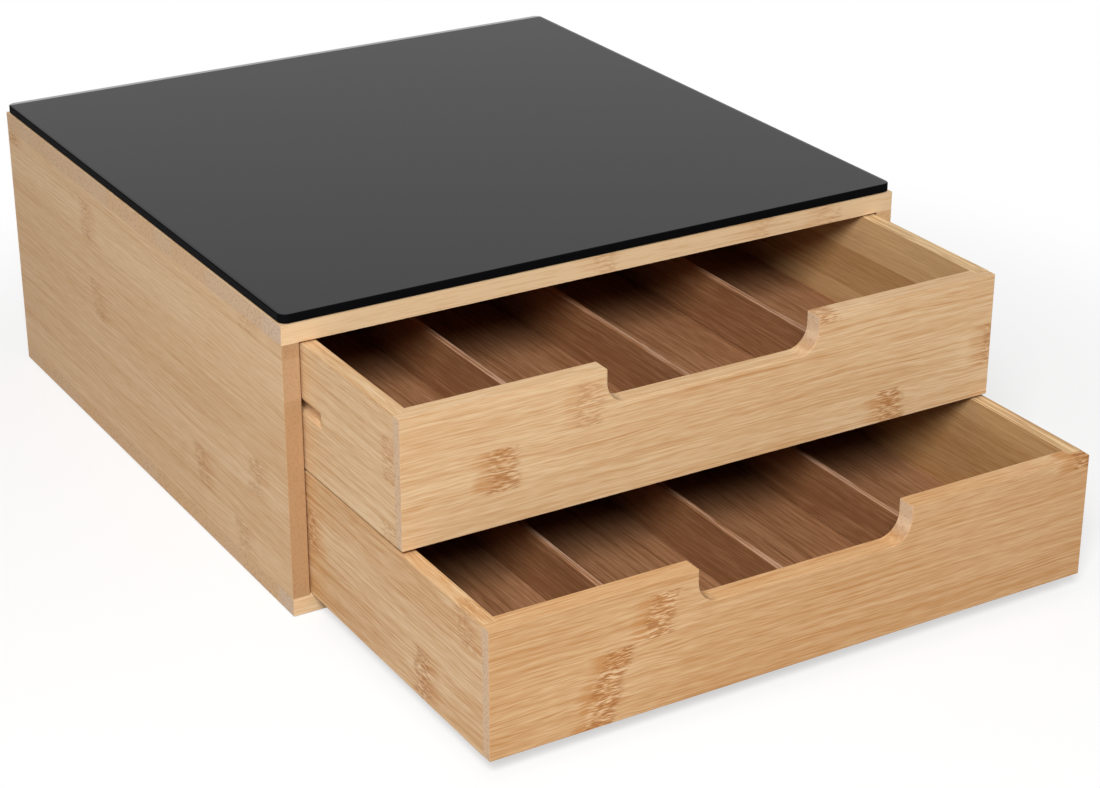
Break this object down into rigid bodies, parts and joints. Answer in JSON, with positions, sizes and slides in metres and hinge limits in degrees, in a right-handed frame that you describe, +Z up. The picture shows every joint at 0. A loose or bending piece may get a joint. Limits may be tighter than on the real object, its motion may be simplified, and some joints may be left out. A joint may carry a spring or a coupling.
{
  "type": "coffee capsule drawer",
  "caption": "Bamboo box with a black glass top and stacked sliding drawers, each with a finger notch and dividers that keep coffee capsules in rows.",
  "frame": {"origin": "middle of the case's underside, on the surface it stands on", "axes": "+X to the right, +Y from the front to the back, +Z up; the drawers open along -Y"},
  "size_m": [0.31, 0.473, 0.1384],
  "materials": {
    "bamboo": "satin",
    "dark_bamboo": "satin",
    "birch": "matte",
    "black_glass": "polished",
    "clear_tape": "matte",
    "screw_steel": "plain"
  },
  "bodies": {
    "case": {"top_board": "bamboo", "bottom_board": "bamboo", "left_side_board": "bamboo", "right_side_board": "bamboo", "back_board": "bamboo", "glass_top": "black_glass", "glass_tape": "clear_tape", "left_runner": "bamboo", "right_runner": "bamboo", "runner_screws": "screw_steel", "case_dowels": "birch"},
    "upper_drawer": {"upper_front": "bamboo", "upper_back": "bamboo", "upper_left_side": "bamboo", "upper_right_side": "bamboo", "upper_base": "dark_bamboo", "upper_divider_left": "dark_bamboo", "upper_divider_middle": "dark_bamboo", "upper_divider_right": "dark_bamboo"},
    "lower_drawer": {"lower_front": "bamboo", "lower_back": "bamboo", "lower_left_side": "bamboo", "lower_right_side": "bamboo", "lower_base": "dark_bamboo", "lower_divider_left": "dark_bamboo", "lower_divider_middle": "dark_bamboo", "lower_divider_right": "dark_bamboo"}
  },
  "joints": [
    {"name": "upper_drawer_slide", "type": "slide", "parent": "case", "child": "upper_drawer", "axis": [0, -1, 0], "range_m": [-0.085, 0.08]},
    {"name": "lower_drawer_slide", "type": "slide", "parent": "case", "child": "lower_drawer", "axis": [0, -1, 0], "range_m": [-0.153, 0.05]}
  ]
}
